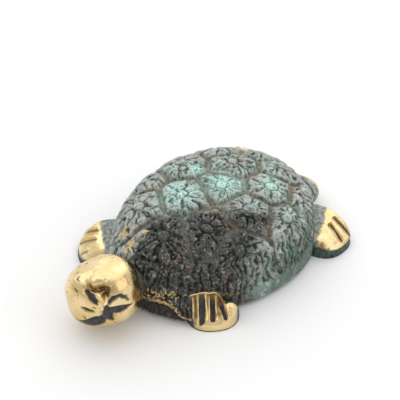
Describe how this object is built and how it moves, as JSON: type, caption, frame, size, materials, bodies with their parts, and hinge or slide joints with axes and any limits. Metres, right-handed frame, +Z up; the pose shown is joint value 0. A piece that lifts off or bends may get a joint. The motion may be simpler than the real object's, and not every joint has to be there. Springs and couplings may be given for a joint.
{
  "type": "turtle figurine",
  "caption": "Cast brass turtle ornament with a hollow green-patinated shell, raised scutes, polished head, feet and tail, and a belly plate screwed on from below.",
  "frame": {"origin": "middle of the figurine's length and width, on the plane of its soles", "axes": "+Y from head to tail, +X to the turtle's left, +Z up"},
  "size_m": [0.0661, 0.1076, 0.0258],
  "materials": {
    "patinated_brass": "rough cast, dark with green verdigris",
    "dark_brass": "rough cast, darkened",
    "polished_brass": "hand polished, dark in the grooves",
    "screw_brass": "satin"
  },
  "bodies": {
    "root": {"carapace": "patinated_brass", "plastron": "dark_brass", "head": "polished_brass", "foot_front_left": "polished_brass", "foot_front_right": "polished_brass", "foot_rear_left": "polished_brass", "foot_rear_right": "polished_brass", "tail": "polished_brass", "foot_screws": "screw_brass", "neck_screw": "screw_brass", "tail_screw": "screw_brass"}
  },
  "joints": []
}
